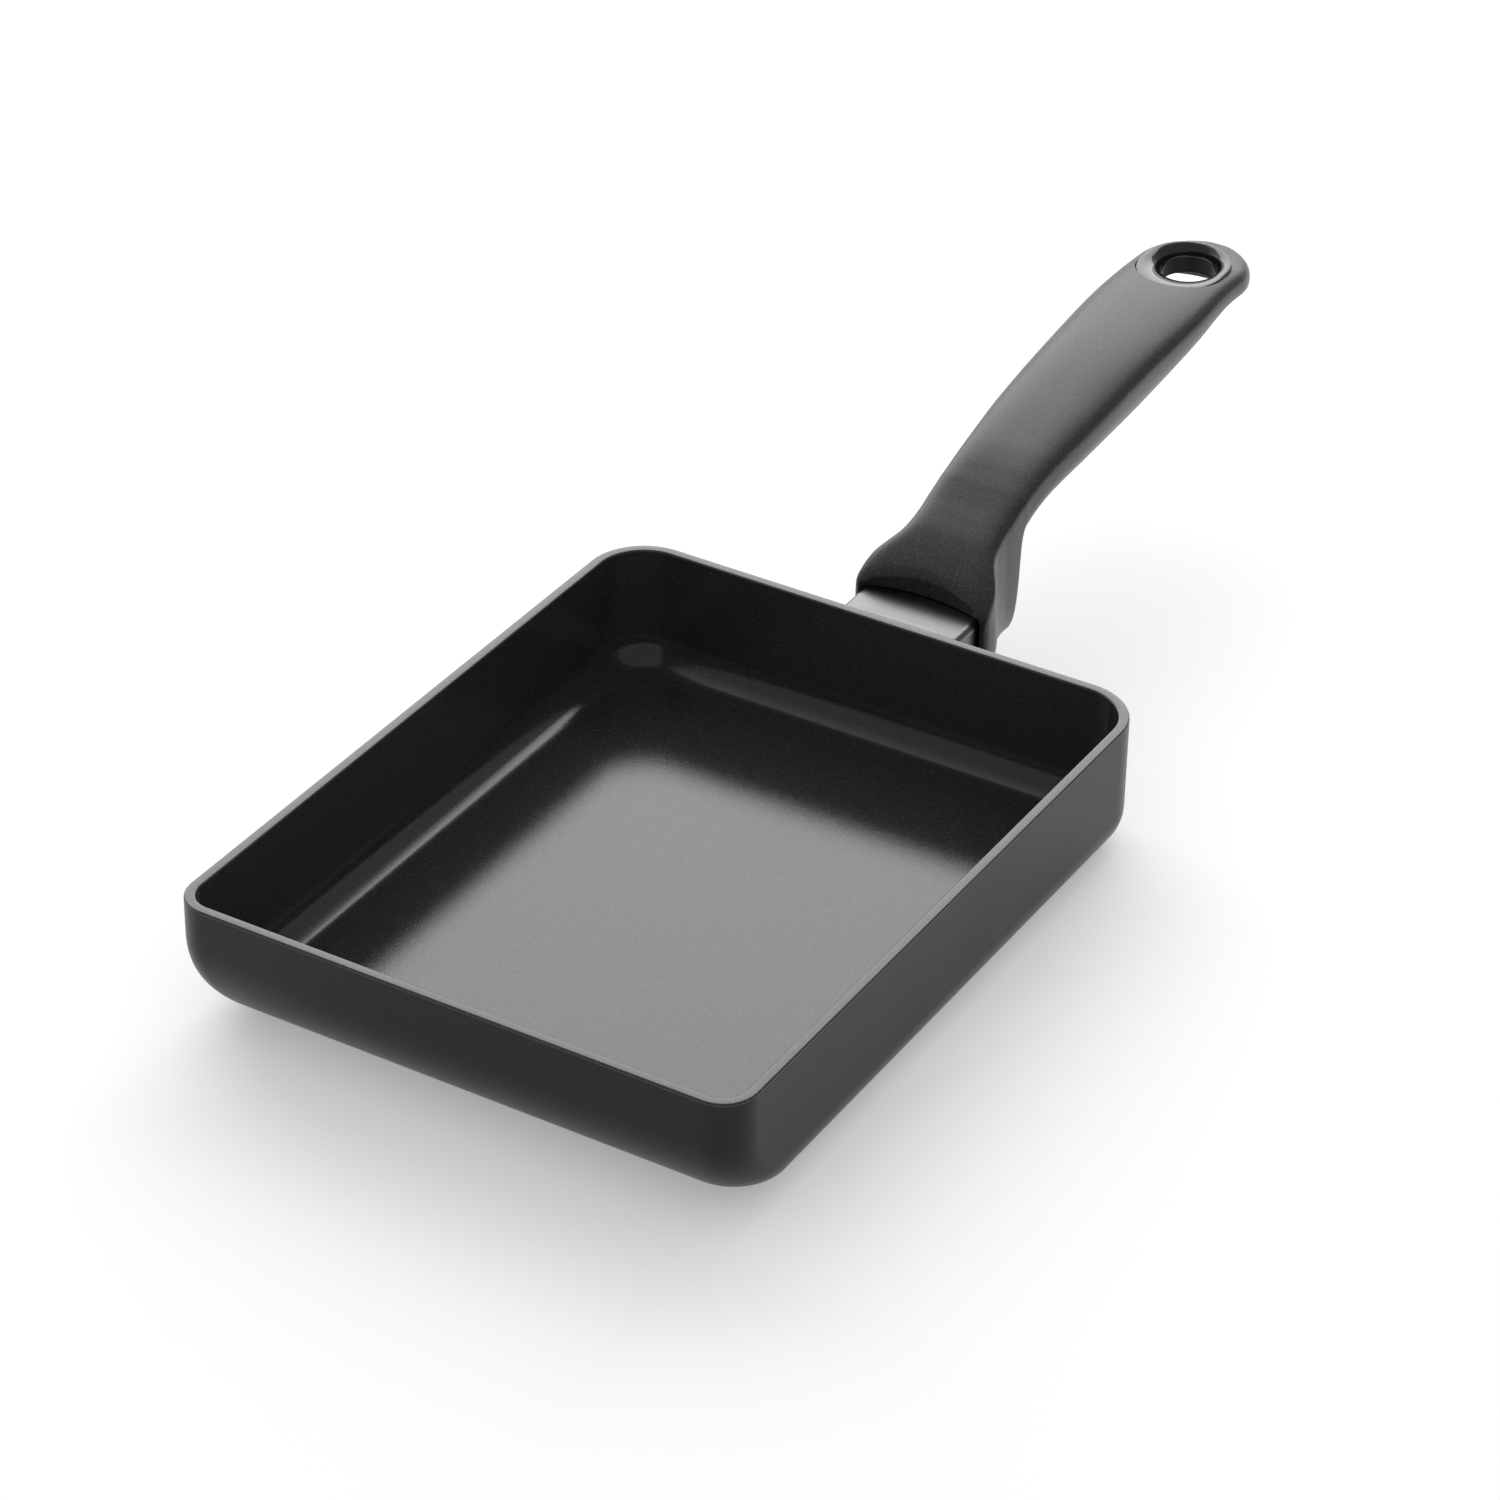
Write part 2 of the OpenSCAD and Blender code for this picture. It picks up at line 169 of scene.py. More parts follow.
# Edges that turn more than this many degrees are sharp
BODY_CREASE = 32.0
CREASE = 40.0


# Meshes

def angles(n, phase=0.0):
    """Even angles of a full turn, the first one the given share of a step on."""
    return np.radians((np.arange(n) + phase) * 360 / n)


def quarter(n, first=0.0):
    """Even angles of a quarter turn with its ends, or from a first angle in degrees."""
    return np.radians(np.linspace(first, 90, n))


def bands(m, n, closed=False):
    """Quads between m rings of n points: each joins points i and i + 1 of rings k and
    k + 1, and where closed the last ring is joined to the first."""
    k, i = np.meshgrid(np.arange(m if closed else m - 1), np.arange(n), indexing="ij")
    k2, i2 = (k + 1) % m, (i + 1) % n
    return np.stack([k * n + i, k * n + i2, k2 * n + i2, k2 * n + i], -1).reshape(-1, 4)


def loft(rows):
    """Closed shell over rows of points, each row a closed ring, with both end rings
    closed to their means: its points, and its faces as quads and as triangles."""
    m, n = rows.shape[:2]
    verts = np.vstack([rows.reshape(-1, 3), rows[0].mean(0), rows[-1].mean(0)])
    ring = np.arange(n)
    after = (ring + 1) % n
    base = (m - 1) * n
    first = np.stack([np.full(n, m * n), after, ring], -1)
    last = np.stack([np.full(n, m * n + 1), base + ring, base + after], -1)
    return verts, [bands(m, n), np.vstack([first, last])]


def post(r, x, y, low, high, turn):
    """Closed shell of a round post between two heights, with points at the given angles."""
    ring = np.column_stack([x + r * np.cos(turn), y + r * np.sin(turn), np.zeros(len(turn))])
    return loft(np.array([ring + [0, 0, low], ring + [0, 0, high]]))


def solid(name, shells):
    """Object from closed shells in millimetres, each its points and arrays of faces."""
    faces = []
    start = 0
    for points, arrays in shells:
        for array in arrays:
            faces += (array + start).tolist()
        start += len(points)
    verts = np.vstack([points for points, _ in shells]) * MM
    mesh = bpy.data.meshes.new(name)
    mesh.from_pydata(verts.tolist(), [], faces)
    obj = bpy.data.objects.new(name, mesh)
    bpy.context.scene.collection.objects.link(obj)
    return obj


def smooth(mesh, crease):
    """Shades a mesh smooth but for edges that turn more than the crease angle."""
    mesh.polygons.foreach_set("use_smooth", np.ones(len(mesh.polygons), bool))
    mesh.set_sharp_from_angle(angle=math.radians(crease))
    mesh.update()


def piece(name, shells, crease):
    """Smooth object of the pan from closed shells in millimetres."""
    obj = solid(name, shells)
    smooth(obj.data, crease)
    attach(obj, "root")
    return obj


# Pan body

def pan_ring(x, y_back, y_far, r_back, r_far, z):
    """Rounded rectangle seen from above, its corners quarter circles, with extra
    points just inside the ends of each straight edge and at its thirds to hold the
    shading."""
    corners = []
    for cx, cy, turn in ((1, 1, 0), (-1, 1, 90), (-1, -1, 180), (1, -1, 270)):
        r, y = (r_back, y_back) if cy > 0 else (r_far, y_far)
        t = np.radians(turn + CORNER_TURN)
        corners.append(np.stack([cx * (x - r) + r * np.cos(t),
                                 cy * (y - r) + r * np.sin(t)], -1))
    ring = []
    for c, after in zip(corners, corners[1:] + corners[:1]):
        a, b = c[-1], after[0]
        near = HOLD / np.linalg.norm(b - a)
        share = np.array([near, 1 / 3, 2 / 3, 1 - near])[:, None]
        ring.append(np.vstack([c, a + (b - a) * share]))
    flat = np.vstack(ring)
    return np.column_stack([flat, np.full(len(flat), z)])


def toe(r, z):
    """How far the wall stands inward at height z of a quarter circle of radius r."""
    return 0.0 if z >= r else r - math.sqrt(max(0.0, r * r - (r - z) ** 2))


def body_ring(t, z, z0, edge=0.0):
    """Ring of the skin that lies t inside the outer one, z above its own floor at z0,
    drawn in by edge where it runs round the rim."""
    s = toe(SIDE_TOE - t, z)
    f = toe(FAR_TOE - t, z)
    return pan_ring(PAN_W / 2 - t - s - edge, WALL_Y - t - s - edge, WALL_Y - t - f - edge,
                    BACK_R - t - s - edge, FAR_R - t - s + CORNER_OPEN * f - edge, z0 + z)


def toe_heights(t, depth):
    """Heights of the rings of one skin that is depth high: both toe circles at even
    angles, then the plain wall."""
    far = (FAR_TOE - t) * (1 - np.cos(quarter(31)))
    side = (SIDE_TOE - t) * (1 - np.cos(quarter(19)))
    wall = WALL_SHARES * (depth - RIM_BAND - FAR_TOE + t) + FAR_TOE - t
    z = np.unique(np.round(np.concatenate([far, side, wall]), 4))
    keep = np.concatenate([[True], np.diff(z) > MIN_STEP])
    return z[keep]


def pan_body():
    """Skin from the middle of the cooking floor out, up the wall, over the rim, down
    the outside, across the underside and into the plate's recess, and the pegs. Faces
    up to the rim's outer edge have the first finish and all others the second."""
    depth = PAN_H - FLOOR_T
    floor = body_ring(WALL_T, 0, FLOOR_T)
    centre = floor.mean(0)
    rows = [centre + (floor - centre) * share for share in FLOOR_SHARES]
    rows += [body_ring(WALL_T, z, FLOOR_T) for z in toe_heights(WALL_T, depth)]
    rows += [body_ring(WALL_T, depth - RIM_R - RIM_HOLD, FLOOR_T)]
    turn = quarter(6)
    rows += [body_ring(WALL_T, depth - RIM_R + RIM_R * math.sin(t), FLOOR_T,
                       -RIM_R * (1 - math.cos(t))) for t in turn]
    rows += [body_ring(0, PAN_H - RIM_R + RIM_R * math.sin(t), 0,
                       RIM_R * (1 - math.cos(t))) for t in turn[::-1]]
    rim_end = len(rows)
    rows += [body_ring(0, PAN_H - RIM_R - RIM_HOLD, 0)]
    rows += [body_ring(0, z, 0) for z in toe_heights(0, PAN_H)[::-1]]
    for grow, z in ((HOLD, 0), (0, 0), (0, PLATE_T)):
        rows.append(pan_ring(PLATE_W / 2 + grow, PLATE_Y + PLATE_L / 2 + grow,
                             PLATE_L / 2 - PLATE_Y + grow, PLATE_R + grow, PLATE_R + grow, z))
    rows = np.array(rows)
    m, n = rows.shape[:2]
    shells = [loft(rows[:, ::-1])]
    for x in (np.arange(PEG_COLS) - (PEG_COLS - 1) / 2) * PEG_PITCH:
        for y in (np.arange(PEG_ROWS) - (PEG_ROWS - 1) / 2) * PEG_PITCH + PLATE_Y:
            shells.append(post(PEG_R, x, y, 0, PLATE_T + PEG_SINK, angles(32)))
    obj = piece("pan_body_skin", shells, BODY_CREASE)
    finish = np.ones(len(obj.data.polygons), np.int32)
    finish[:(rim_end - 1) * n] = 0
    finish[(m - 1) * n:m * n] = 0
    obj.data.materials.append(None)
    obj.data.materials.append(None)
    obj.data.polygons.foreach_set("material_index", finish)
    return obj


# Grip

ROUND = angles(144)


def station(column, y):
    """Smooth curve through one column of the stations: cubic Hermite between stations,
    with the slope of each station taken over its two neighbours."""
    ys, v = GRIP[:, 0], GRIP[:, column]
    low = np.maximum(np.arange(len(ys)) - 1, 0)
    high = np.minimum(np.arange(len(ys)) + 1, len(ys) - 1)
    slope = (v[high] - v[low]) / (ys[high] - ys[low])
    i = np.clip(np.searchsorted(ys, y, side="right") - 1, 0, len(ys) - 2)
    h = ys[i + 1] - ys[i]
    t = (y - ys[i]) / h
    return ((2 * t ** 3 - 3 * t ** 2 + 1) * v[i] + (t ** 3 - 2 * t ** 2 + t) * h * slope[i]
            + (3 * t ** 2 - 2 * t ** 3) * v[i + 1] + (t ** 3 - t ** 2) * h * slope[i + 1])


def squared(angle, a, b, n):
    """Point of the squared oval |x/a|^n + |z/b|^n = 1 that lies in the given direction."""
    c, s = np.cos(angle), np.sin(angle)
    r = (np.abs(c / a) ** n + np.abs(s / b) ** n) ** (-1 / n)
    return r * c, r * s


def grip_section(y, width=1.0, height=1.0):
    """Section of the grip at distance y from the wall, one value of y per point or one
    for all: an upper and a lower squared oval that meet UPPER_H below the top, with
    sides that lean in towards the top by the last column of the stations. The shares
    of its width and height close the grip's end."""
    y = np.broadcast_to(np.asarray(y, float), ROUND.shape)
    a, top, low, nu, nl, lean = (station(c, y) for c in range(1, 7))
    middle = top - UPPER_H
    up = np.sin(ROUND) >= 0
    x, z = squared(ROUND, a, np.where(up, UPPER_H, middle - low), np.where(up, nu, nl))
    half = (top + low) / 2
    z = middle + z
    x = x * (1 - lean / a * 2 * (z - half) / (top - low))
    z = half + (z - half) * height
    return np.column_stack([x * width, WALL_Y + y, PAN_H + z])


def arch(x):
    """Distance from the wall to the arched mouth at x: a circle seen from above."""
    return MOUTH_GAP - ARCH_R + np.sqrt(ARCH_R ** 2 - x ** 2)


def socket_ring(size, y):
    """Ring of a socket, a very squared oval, at y or on the arch where y is None."""
    a, b, z0 = size
    x, z = squared(ROUND, a, b, SOCKET_SQUARE)
    along = arch(x) if y is None else np.full(x.shape, float(y))
    return np.column_stack([x, WALL_Y + along, z0 + z])


def mouth_rings():
    """Rings of the outer skin from the mouth's inner edge round its lip, which follows
    the arch, and on by even shares of the way to a plain section."""
    y = np.full(ROUND.shape, ARCH_GUESS)
    for _ in range(ARCH_PASSES):
        y = arch(grip_section(y)[:, 0])
    edge = grip_section(y)
    inward = edge - edge.mean(0)
    inward[:, 1] = 0
    inward /= np.linalg.norm(inward, axis=1)[:, None]
    rings = []
    for t in quarter(7)[::-1]:
        ring = grip_section(y + LIP_R * (1 - math.sin(t)))
        rings.append(ring - inward * LIP_R * (1 - math.cos(t)))
    for share in np.linspace(0, 1, 16)[1:]:
        rings.append(grip_section((1 - share) * (y + LIP_R) + share * PLAIN_Y))
    return rings


def grip_body():
    """Skin from the end of the tongue's socket out to the mouth, round its lip and back
    over the grip to its rounded end, whose sections close by cosine in width and by a
    low power of cosine in height."""
    rows = [socket_ring(TONGUE_SOCKET, TONGUE_END), socket_ring(TONGUE_SOCKET, BAR_END),
            socket_ring(BAR_SOCKET, BAR_END), socket_ring(BAR_SOCKET, None)]
    rows += mouth_rings()
    rows += [grip_section(y) for y in SECTIONS]
    start = GRIP_REACH - GRIP_END_L
    rows += [grip_section(start + GRIP_END_L * math.sin(t), math.cos(t),
                          math.cos(t) ** END_POWER) for t in END_TURN]
    return loft(np.array(rows)[:, ::-1])


# Eyelet

ROUND_EYE = angles(96, 0.5)


def eye_ring(r, straight, y, z):
    """Oval of radius r with a straight stretch on each side, in the eyelet's own frame,
    turned by its tilt and set at its place."""
    x = r * np.cos(ROUND_EYE)
    v = y + r * np.sin(ROUND_EYE) + np.sign(np.sin(ROUND_EYE)) * straight
    w = np.full(x.shape, float(z))
    c, s = math.cos(EYE_TILT), math.sin(EYE_TILT)
    return np.column_stack([x, EYE_Y + v * c - w * s, EYE_Z + v * s + w * c])


def eye_post(r, straight, y, low, high):
    """Closed shell of an oval post between two heights of the eyelet's own frame."""
    return loft(np.array([eye_ring(r, straight, y, low), eye_ring(r, straight, y, high)]))


def eyelet_profile():
    """Profile of the eyelet as radius, straight, y and z: up the collar, over its
    rounded edge, down the quarter oval of the cup and the cone of the throat to the
    hole's lower end, and up the barrel."""
    outer = EYE_W / 2
    points = [(outer, EYE_STRAIGHT, 0, -COLLAR_H), (outer, EYE_STRAIGHT, 0, -EYE_EDGE)]
    for t in quarter(6, 15):
        points.append((outer - EYE_EDGE * (1 - math.cos(t)), EYE_STRAIGHT, 0,
                       EYE_EDGE * (math.sin(t) - 1)))
    top = outer - EYE_EDGE
    for t in quarter(18, 6):
        share = math.sin(t)
        points.append((top - (top - THROAT_R) * share, EYE_STRAIGHT * (1 - share),
                       HOLE_Y * share, CUP_H * (math.cos(t) - 1)))
    low = -EYE_H
    hole = ((HOLE_R + CHAMFER, low + LAND + CHAMFER), (HOLE_R, low + LAND),
            (HOLE_R, low + CHAMFER), (HOLE_R + CHAMFER, low))
    barrel = ((BARREL_R, low), (BARREL_R, -COLLAR_H))
    return points + [(r, 0, HOLE_Y, z) for r, z in hole + barrel]


def eyelet():
    """Closed skin round the eyelet: its profile carried round the oval."""
    rows = np.array([eye_ring(*p) for p in eyelet_profile()])
    m, n = rows.shape[:2]
    return piece("eyelet_skin", [(rows.reshape(-1, 3), [bands(m, n, closed=True)])], CREASE)


def cut(obj, shells):
    """Takes closed shells out of an object and leaves a plain smooth mesh, with its
    slivers merged and its large faces in triangles."""
    cutters = [solid("cut", [shell]) for shell in shells]
    for cutter in cutters:
        modifier = obj.modifiers.new("cut", "BOOLEAN")
        modifier.operation = "DIFFERENCE"
        modifier.solver = "EXACT"
        modifier.object = cutter
    graph = bpy.context.evaluated_depsgraph_get()
    mesh = bpy.data.meshes.new_from_object(obj.evaluated_get(graph))
    obj.modifiers.clear()
    obj.data = mesh
    for cutter in cutters:
        bpy.data.objects.remove(cutter)
    work = bmesh.new()
    work.from_mesh(mesh)
    bmesh.ops.remove_doubles(work, verts=work.verts, dist=MERGE * MM)
    bmesh.ops.triangulate(work, faces=[f for f in work.faces if len(f.verts) > 4])
    bmesh.ops.dissolve_degenerate(work, edges=work.edges, dist=MERGE * MM)
    work.to_mesh(mesh)
    work.free()
    smooth(mesh, CREASE)


def grip():
    """The grip's skin less the eyelet's seat, the pocket below it and the screw's well."""
    obj = piece("grip_skin", [grip_body()], CREASE)
    cut(obj, [eye_post(EYE_W / 2 + INSERT_GAP, EYE_STRAIGHT, 0, -COLLAR_H - INSERT_GAP, CUT_ABOVE),
              eye_post(BARREL_R + INSERT_GAP, 0, HOLE_Y, -CUT_BELOW, 0),
              eye_post(POCKET_R, POCKET_STRAIGHT, POCKET_Y, -CUT_BELOW, -EYE_H),
              post(WELL_R, 0, WELL_Y, WELL_LOW, WELL_TOP, angles(48, 0.5))])
    return obj


body = pan_body()
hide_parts("pan_body")

handle = grip()
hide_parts("handle_grip")

eye = eyelet()
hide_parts("hanging_eyelet")


# Finishes

GRAIN_CONTRAST = 6.0


def group(name, inputs, outputs):
    """Empty node group with float inputs given as name and value, and named float
    outputs."""
    tree = bpy.data.node_groups.new(name, "ShaderNodeTree")
    for key, value in inputs:
        tree.interface.new_socket(key, in_out="INPUT", socket_type="NodeSocketFloat")
        tree.interface.items_tree[key].default_value = value
    for key in outputs:
        tree.interface.new_socket(key, in_out="OUTPUT", socket_type="NodeSocketFloat")
    return tree, tree.nodes.new("NodeGroupInput"), tree.nodes.new("NodeGroupOutput")


def node(tree, kind, **values):
    """Node of one kind with its settings."""
    n = tree.nodes.new(kind)
    for key, value in values.items():
        setattr(n, key, value)
    return n


def feed(tree, socket, value):
    """Sets a socket to a number, or links another socket to it."""
    if isinstance(value, (int, float)):
        socket.default_value = value
    else:
        tree.links.new(value, socket)


def math_node(tree, operation, a, b, clamp=False):
    """Math node whose two inputs are sockets or numbers."""
    n = node(tree, "ShaderNodeMath", operation=operation, use_clamp=clamp)
    feed(tree, n.inputs[0], a)
    feed(tree, n.inputs[1], b)
    return n.outputs[0]


def noise(tree, place, scale, **sockets):
    """Value of a 3-D noise at a place; its scale is a socket or a number."""
    n = node(tree, "ShaderNodeTexNoise", noise_dimensions="3D")
    for key, value in sockets.items():
        n.inputs[key].default_value = value
    feed(tree, n.inputs["Scale"], scale)
    tree.links.new(place, n.inputs["Vector"])
    return n.outputs[0]


def object_place(tree):
    """Place on the object, in metres."""
    return node(tree, "ShaderNodeTexCoord").outputs["Object"]


def speckle_group():
    """Fine speckle: value noise at one size, cut to its brightest grains, and its height."""
    tree, inp, out = group("Speckle", [("Scale", 2000.0), ("Share", 0.5)], ["Mask", "Height"])
    fine = noise(tree, object_place(tree), inp.outputs["Scale"], Detail=3.0, Roughness=0.7)
    over = math_node(tree, "SUBTRACT", fine, inp.outputs["Share"])
    mask = math_node(tree, "MULTIPLY", over, GRAIN_CONTRAST, clamp=True)
    tree.links.new(mask, out.inputs["Mask"])
    tree.links.new(fine, out.inputs["Height"])
    return tree


def clouds_group():
    """Slow unevenness of a finish, from 0 to 1 round 0.5."""
    tree, inp, out = group("Clouds", [("Scale", 40.0)], ["Value"])
    slow = noise(tree, object_place(tree), inp.outputs["Scale"], Detail=4.0)
    tree.links.new(slow, out.inputs["Value"])
    return tree


def brushed_group():
    """Brushed lines along X: noise squeezed hard across them."""
    tree, inp, out = group("Brushed lines", [("Across", 4000.0), ("Along", 60.0)], ["Value"])
    parts = node(tree, "ShaderNodeSeparateXYZ")
    tree.links.new(object_place(tree), parts.inputs[0])
    joined = node(tree, "ShaderNodeCombineXYZ")
    for axis, key in enumerate(("Along", "Across", "Across")):
        scaled = math_node(tree, "MULTIPLY", parts.outputs[axis], inp.outputs[key])
        tree.links.new(scaled, joined.inputs[axis])
    lines = noise(tree, joined.outputs[0], 1.0, Detail=2.0)
    tree.links.new(lines, out.inputs["Value"])
    return tree


SPECKLE = speckle_group()
CLOUDS = clouds_group()
BRUSHED = brushed_group()


def material(name, **sockets):
    """Material with a Principled shader whose constant sockets are set by name."""
    m = bpy.data.materials.new(name)
    m.use_nodes = True
    shader = m.node_tree.nodes["Principled BSDF"]
    for key, value in sockets.items():
        shader.inputs[key.replace("_", " ")].default_value = value
    return m, m.node_tree, shader


def use(tree, shared, **inputs):
    """Places a shared group with its own values."""
    n = node(tree, "ShaderNodeGroup")
    n.node_tree = shared
    for key, value in inputs.items():
        n.inputs[key].default_value = value
    return n


def blend(tree, factor, a, b):
    """Float that runs from a to b with the factor; sockets or numbers."""
    n = node(tree, "ShaderNodeMix", data_type="FLOAT")
    feed(tree, n.inputs[0], factor)
    feed(tree, n.inputs[2], a)
    feed(tree, n.inputs[3], b)
    return n.outputs[0]


def tint(tree, factor, a, b):
    """Colour that runs from the grey value a to the grey value b with the factor."""
    n = node(tree, "ShaderNodeMix", data_type="RGBA")
    tree.links.new(factor, n.inputs[0])
    n.inputs[6].default_value = (a, a, a, 1)
    n.inputs[7].default_value = (b, b, b, 1)
    return n.outputs[2]


def bump(tree, shader, height, strength, distance):
    """Bump from one height into the shader's normal."""
    n = node(tree, "ShaderNodeBump")
    n.inputs["Strength"].default_value = strength
    n.inputs["Distance"].default_value = distance
    tree.links.new(height, n.inputs["Height"])
    tree.links.new(n.outputs[0], shader.inputs["Normal"])


def inner_finish():
    """Black ceramic coating, glossy, with fine metal flakes in it."""
    m, tree, shader = material("ceramic coating", Specular_IOR_Level=0.65)
    flakes = use(tree, SPECKLE, Scale=3000.0, Share=0.58)
    slow = use(tree, CLOUDS, Scale=35.0)
    mask = flakes.outputs["Mask"]
    tree.links.new(tint(tree, mask, 0.026, 0.20), shader.inputs["Base Color"])
    tree.links.new(math_node(tree, "MULTIPLY", mask, 0.6), shader.inputs["Metallic"])
    tree.links.new(blend(tree, slow.outputs["Value"], 0.08, 0.13), shader.inputs["Roughness"])
    bump(tree, shader, flakes.outputs["Height"], 0.14, 0.0001)
    return m


def outer_finish():
    """Satin black coating of the outside with a fine grain."""
    m, tree, shader = material("outer coating", Specular_IOR_Level=0.27)
    grain = use(tree, SPECKLE, Scale=900.0, Share=0.5)
    slow = use(tree, CLOUDS, Scale=35.0)
    tree.links.new(tint(tree, grain.outputs["Mask"], 0.005, 0.009), shader.inputs["Base Color"])
    tree.links.new(blend(tree, slow.outputs["Value"], 0.28, 0.38), shader.inputs["Roughness"])
    bump(tree, shader, grain.outputs["Height"], 0.05, 0.0001)
    return m


def grip_finish():
    """Dark grey moulded plastic with a fine light speckle and a soft sheen."""
    m, tree, shader = material("grip plastic")
    fine = use(tree, SPECKLE, Scale=1900.0, Share=0.50)
    slow = use(tree, CLOUDS, Scale=60.0)
    tree.links.new(tint(tree, fine.outputs["Mask"], 0.021, 0.064), shader.inputs["Base Color"])
    tree.links.new(blend(tree, slow.outputs["Value"], 0.29, 0.37), shader.inputs["Roughness"])
    bump(tree, shader, fine.outputs["Height"], 0.25, 0.0001)
    return m


def gloss_finish():
    """Polished black plastic with faint handling marks in its shine. Down the hanging hole its
    shine is turned low, which paints shade there; the shine fades in from just above the cup's
    lower edge."""
    start = EYE_Z - CUP_H + 0.3
    fade = 0.5
    m, tree, shader = material("eyelet plastic")
    parts = node(tree, "ShaderNodeSeparateXYZ")
    tree.links.new(object_place(tree), parts.inputs[0])
    # Shine turned low below the cup's lower edge: painted shade down the hanging hole
    height = math_node(tree, "SUBTRACT", parts.outputs[2], start * MM)
    hole_shade_fade = math_node(tree, "MULTIPLY", height, 1 / (fade * MM), clamp=True)
    tree.links.new(blend(tree, hole_shade_fade, 0.12, 0.8), shader.inputs["Specular IOR Level"])
    slow = use(tree, CLOUDS, Scale=120.0)
    tree.links.new(tint(tree, slow.outputs["Value"], 0.008, 0.014), shader.inputs["Base Color"])
    tree.links.new(blend(tree, slow.outputs["Value"], 0.05, 0.12), shader.inputs["Roughness"])
    return m


def metal_finish(name, greys, rough, across, along):
    """Bare metal with brushed lines in its colour and bump, and slow clouds in its
    roughness."""
    m, tree, shader = material(name, Metallic=1.0)
    lines = use(tree, BRUSHED, Across=across, Along=along).outputs["Value"]
    slow = use(tree, CLOUDS, Scale=50.0)
    tree.links.new(tint(tree, lines, *greys), shader.inputs["Base Color"])
    tree.links.new(blend(tree, slow.outputs["Value"], rough - 0.05, rough + 0.07),
                   shader.inputs["Roughness"])
    bump(tree, shader, lines, 0.1, 0.00005)
    return m


def matt_finish():
    """Matt black plastic of the plug."""
    m, tree, shader = material("plug plastic")
    fine = use(tree, SPECKLE, Scale=2500.0, Share=0.5)
    tree.links.new(tint(tree, fine.outputs["Mask"], 0.02, 0.035), shader.inputs["Base Color"])
    tree.links.new(blend(tree, fine.outputs["Mask"], 0.55, 0.65), shader.inputs["Roughness"])
    return m


def dress(obj, finish):
    """Gives an object one material on all its faces."""
    obj.data.materials.clear()
    obj.data.materials.append(finish)


body.data.materials[0] = inner_finish()
body.data.materials[1] = outer_finish()
dress(handle, grip_finish())
dress(eye, gloss_finish())
dress(nodes["induction_base"],
      metal_finish("base steel", (0.50, 0.62), rough=0.30, across=3000.0, along=40.0))
dress(nodes["handle_bracket"],
      metal_finish("bracket metal", (0.13, 0.18), rough=0.25, across=2600.0, along=120.0))
dress(nodes["weld_studs"],
      metal_finish("stud steel", (0.50, 0.60), rough=0.30, across=2000.0, along=400.0))
plated = metal_finish("plated steel", (0.55, 0.66), rough=0.28, across=1500.0, along=600.0)
for name in ("stud_washers", "stud_nuts", "bracket_nut", "handle_screw", "screw_washer"):
    dress(nodes[name], plated)
dress(nodes["screw_plug"], matt_finish())


# Studio, in metres

FLOOR_HALF = 4.0
FLOOR_DROP = 0.0002
FLOOR_GREY = 0.93
FLOOR_LIFT = 0.30

# The backdrop's share of a direction is BACKDROP_Y * y - BACKDROP_X * x less its start
BACKDROP_X = 1.3
BACKDROP_Y = 0.9
BACKDROP_START = 0.1
BACKDROP = 1.0
ROOM = 0.3
EVEN_LIGHT = 0.52

# Camera: millimetres of lens and sensor, and degrees round the pan, up and of roll
LENS = 120
SENSOR = 36
CAMERA_TURN = (30.592, 33.008, 0.890)
CAMERA_PLACE = (0.4745993, -0.7714574, 0.6345127)


def shiny_ray(tree, path):
    """One for rays that a shiny face reflects or that glass lets through, else zero."""
    return math_node(tree, "MAXIMUM", path.outputs["Is Glossy Ray"],
                     path.outputs["Is Transmission Ray"])


def studio_floor():
    """Pale floor, far wider than the picture, lifted to white where the camera sees it and
    clear from below, so that the underside can be looked at."""
    mesh = bpy.data.meshes.new("floor")
    h = FLOOR_HALF
    mesh.from_pydata([(-h, -h, 0), (h, -h, 0), (h, h, 0), (-h, h, 0)], [], [(0, 1, 2, 3)])
    obj = bpy.data.objects.new("floor", mesh)
    bpy.context.scene.collection.objects.link(obj)
    obj.location.z = -FLOOR_DROP
    m, tree, shader = material("floor", Roughness=0.9, Specular_IOR_Level=0.0)
    shader.inputs["Base Color"].default_value = (FLOOR_GREY, FLOOR_GREY, FLOOR_GREY, 1)
    shader.inputs["Emission Color"].default_value = (1, 1, 1, 1)
    path = node(tree, "ShaderNodeLightPath")
    seen = math_node(tree, "MAXIMUM", path.outputs["Is Camera Ray"], shiny_ray(tree, path))
    tree.links.new(math_node(tree, "MULTIPLY", seen, FLOOR_LIFT),
                   shader.inputs["Emission Strength"])
    back = node(tree, "ShaderNodeNewGeometry").outputs["Backfacing"]
    clear = node(tree, "ShaderNodeBsdfTransparent")
    mixed = node(tree, "ShaderNodeMixShader")
    for socket, value in zip(mixed.inputs, (back, shader.outputs[0], clear.outputs[0])):
        tree.links.new(value, socket)
    tree.links.new(mixed.outputs[0], tree.nodes["Material Output"].inputs["Surface"])
    dress(obj, m)


def softbox(name, place, aim, width, height, radiance):
    """Area lamp at a place, aimed at a point, with an even radiance over its face."""
    lamp = bpy.data.lights.new(name, "AREA")
    lamp.shape = "RECTANGLE"
    lamp.size = width
    lamp.size_y = height
    lamp.energy = radiance * math.pi * width * height
    obj = bpy.data.objects.new(name, lamp)
    bpy.context.scene.collection.objects.link(obj)
    away = np.array(place, float) - np.array(aim, float)
    turn_z = math.atan2(away[0], -away[1])
    tilt = math.atan2(math.hypot(away[0], away[1]), away[2])
    obj.location = place
    obj.rotation_euler = (tilt, 0, turn_z)


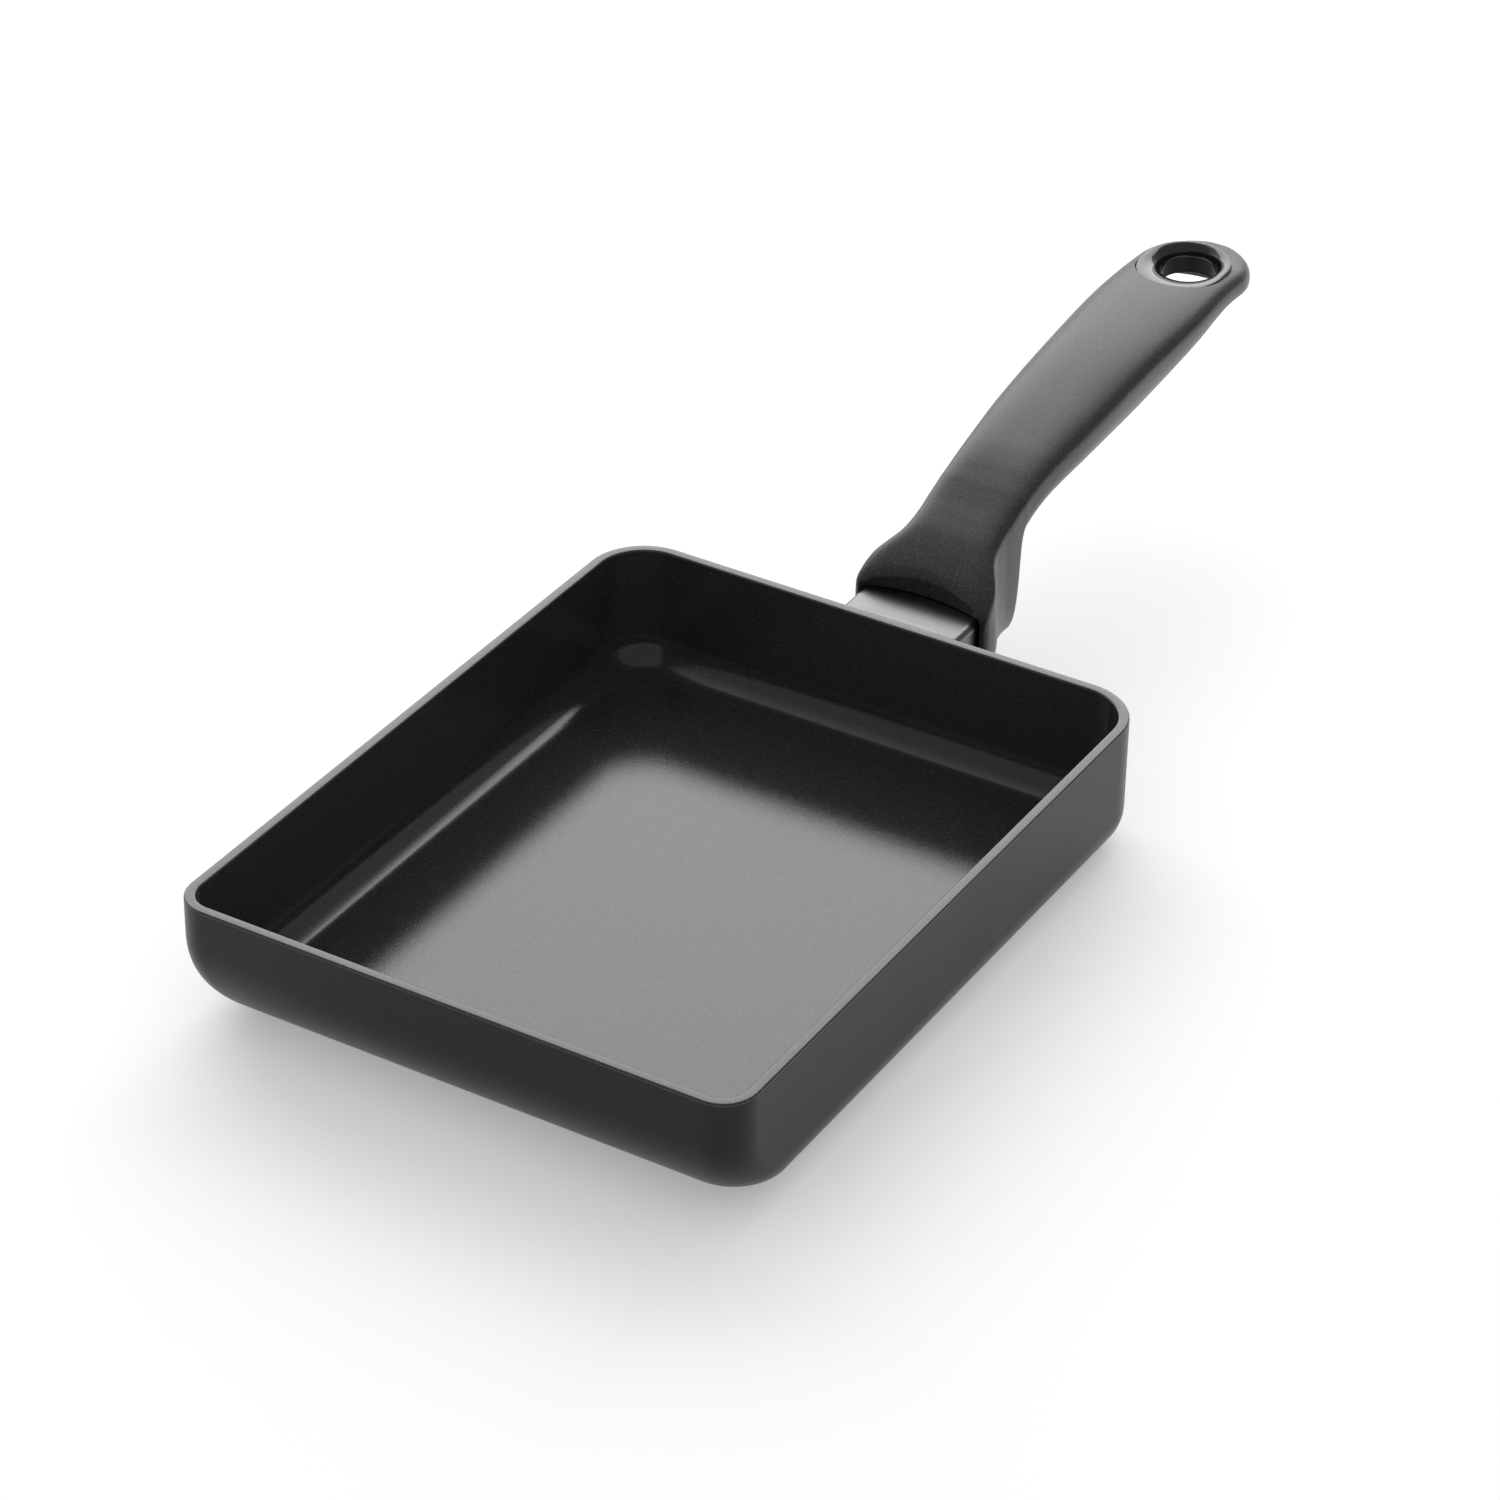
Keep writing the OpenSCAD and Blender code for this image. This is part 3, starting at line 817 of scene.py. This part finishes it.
def studio_world():
    """White where the camera looks past the object. Reflections and glass see that
    white backdrop behind the object and a dim room on the camera's side, and
    everything else gets a softer even light."""
    world = bpy.data.worlds.new("studio")
    world.use_nodes = True
    tree = world.node_tree
    back = tree.nodes["Background"]
    path = node(tree, "ShaderNodeLightPath")
    coords = node(tree, "ShaderNodeTexCoord")
    parts = node(tree, "ShaderNodeSeparateXYZ")
    tree.links.new(coords.outputs["Generated"], parts.inputs[0])
    across = math_node(tree, "MULTIPLY", parts.outputs[0], BACKDROP_X)
    along = math_node(tree, "MULTIPLY", parts.outputs[1], BACKDROP_Y)
    behind = math_node(tree, "SUBTRACT", math_node(tree, "SUBTRACT", along, across),
                       BACKDROP_START, clamp=True)
    mirrored = blend(tree, behind, ROOM, BACKDROP)
    light = blend(tree, shiny_ray(tree, path), EVEN_LIGHT, mirrored)
    tree.links.new(blend(tree, path.outputs["Is Camera Ray"], light, BACKDROP),
                   back.inputs["Strength"])
    back.inputs["Color"].default_value = (1, 1, 1, 1)
    bpy.context.scene.world = world


def studio_camera():
    """Camera at the photograph's place: found from the four straight edges of the rim."""
    data = bpy.data.cameras.new("camera")
    data.lens = LENS
    data.sensor_width = SENSOR
    data.clip_start = 0.05
    data.clip_end = 20
    obj = bpy.data.objects.new("camera", data)
    bpy.context.scene.collection.objects.link(obj)
    azimuth, elevation, roll = (math.radians(v) for v in CAMERA_TURN)
    right = np.array([math.cos(azimuth), math.sin(azimuth), 0])
    back = np.array([math.sin(azimuth) * math.cos(elevation),
                     -math.cos(azimuth) * math.cos(elevation), math.sin(elevation)])
    up = np.cross(back, right)
    c, s = math.cos(roll), math.sin(roll)
    right, up = c * right + s * up, c * up - s * right
    turn = Matrix(np.column_stack([right, up, back]).tolist()).to_4x4()
    turn.translation = CAMERA_PLACE
    obj.matrix_world = turn
    bpy.context.scene.camera = obj


studio_floor()
studio_world()
softbox("back softbox", place=(-0.70, 1.01, 0.84), aim=(0, 0, 0.03), width=2.2, height=1.1,
        radiance=2.3)
studio_camera()
bpy.context.scene.view_settings.view_transform = "Standard"
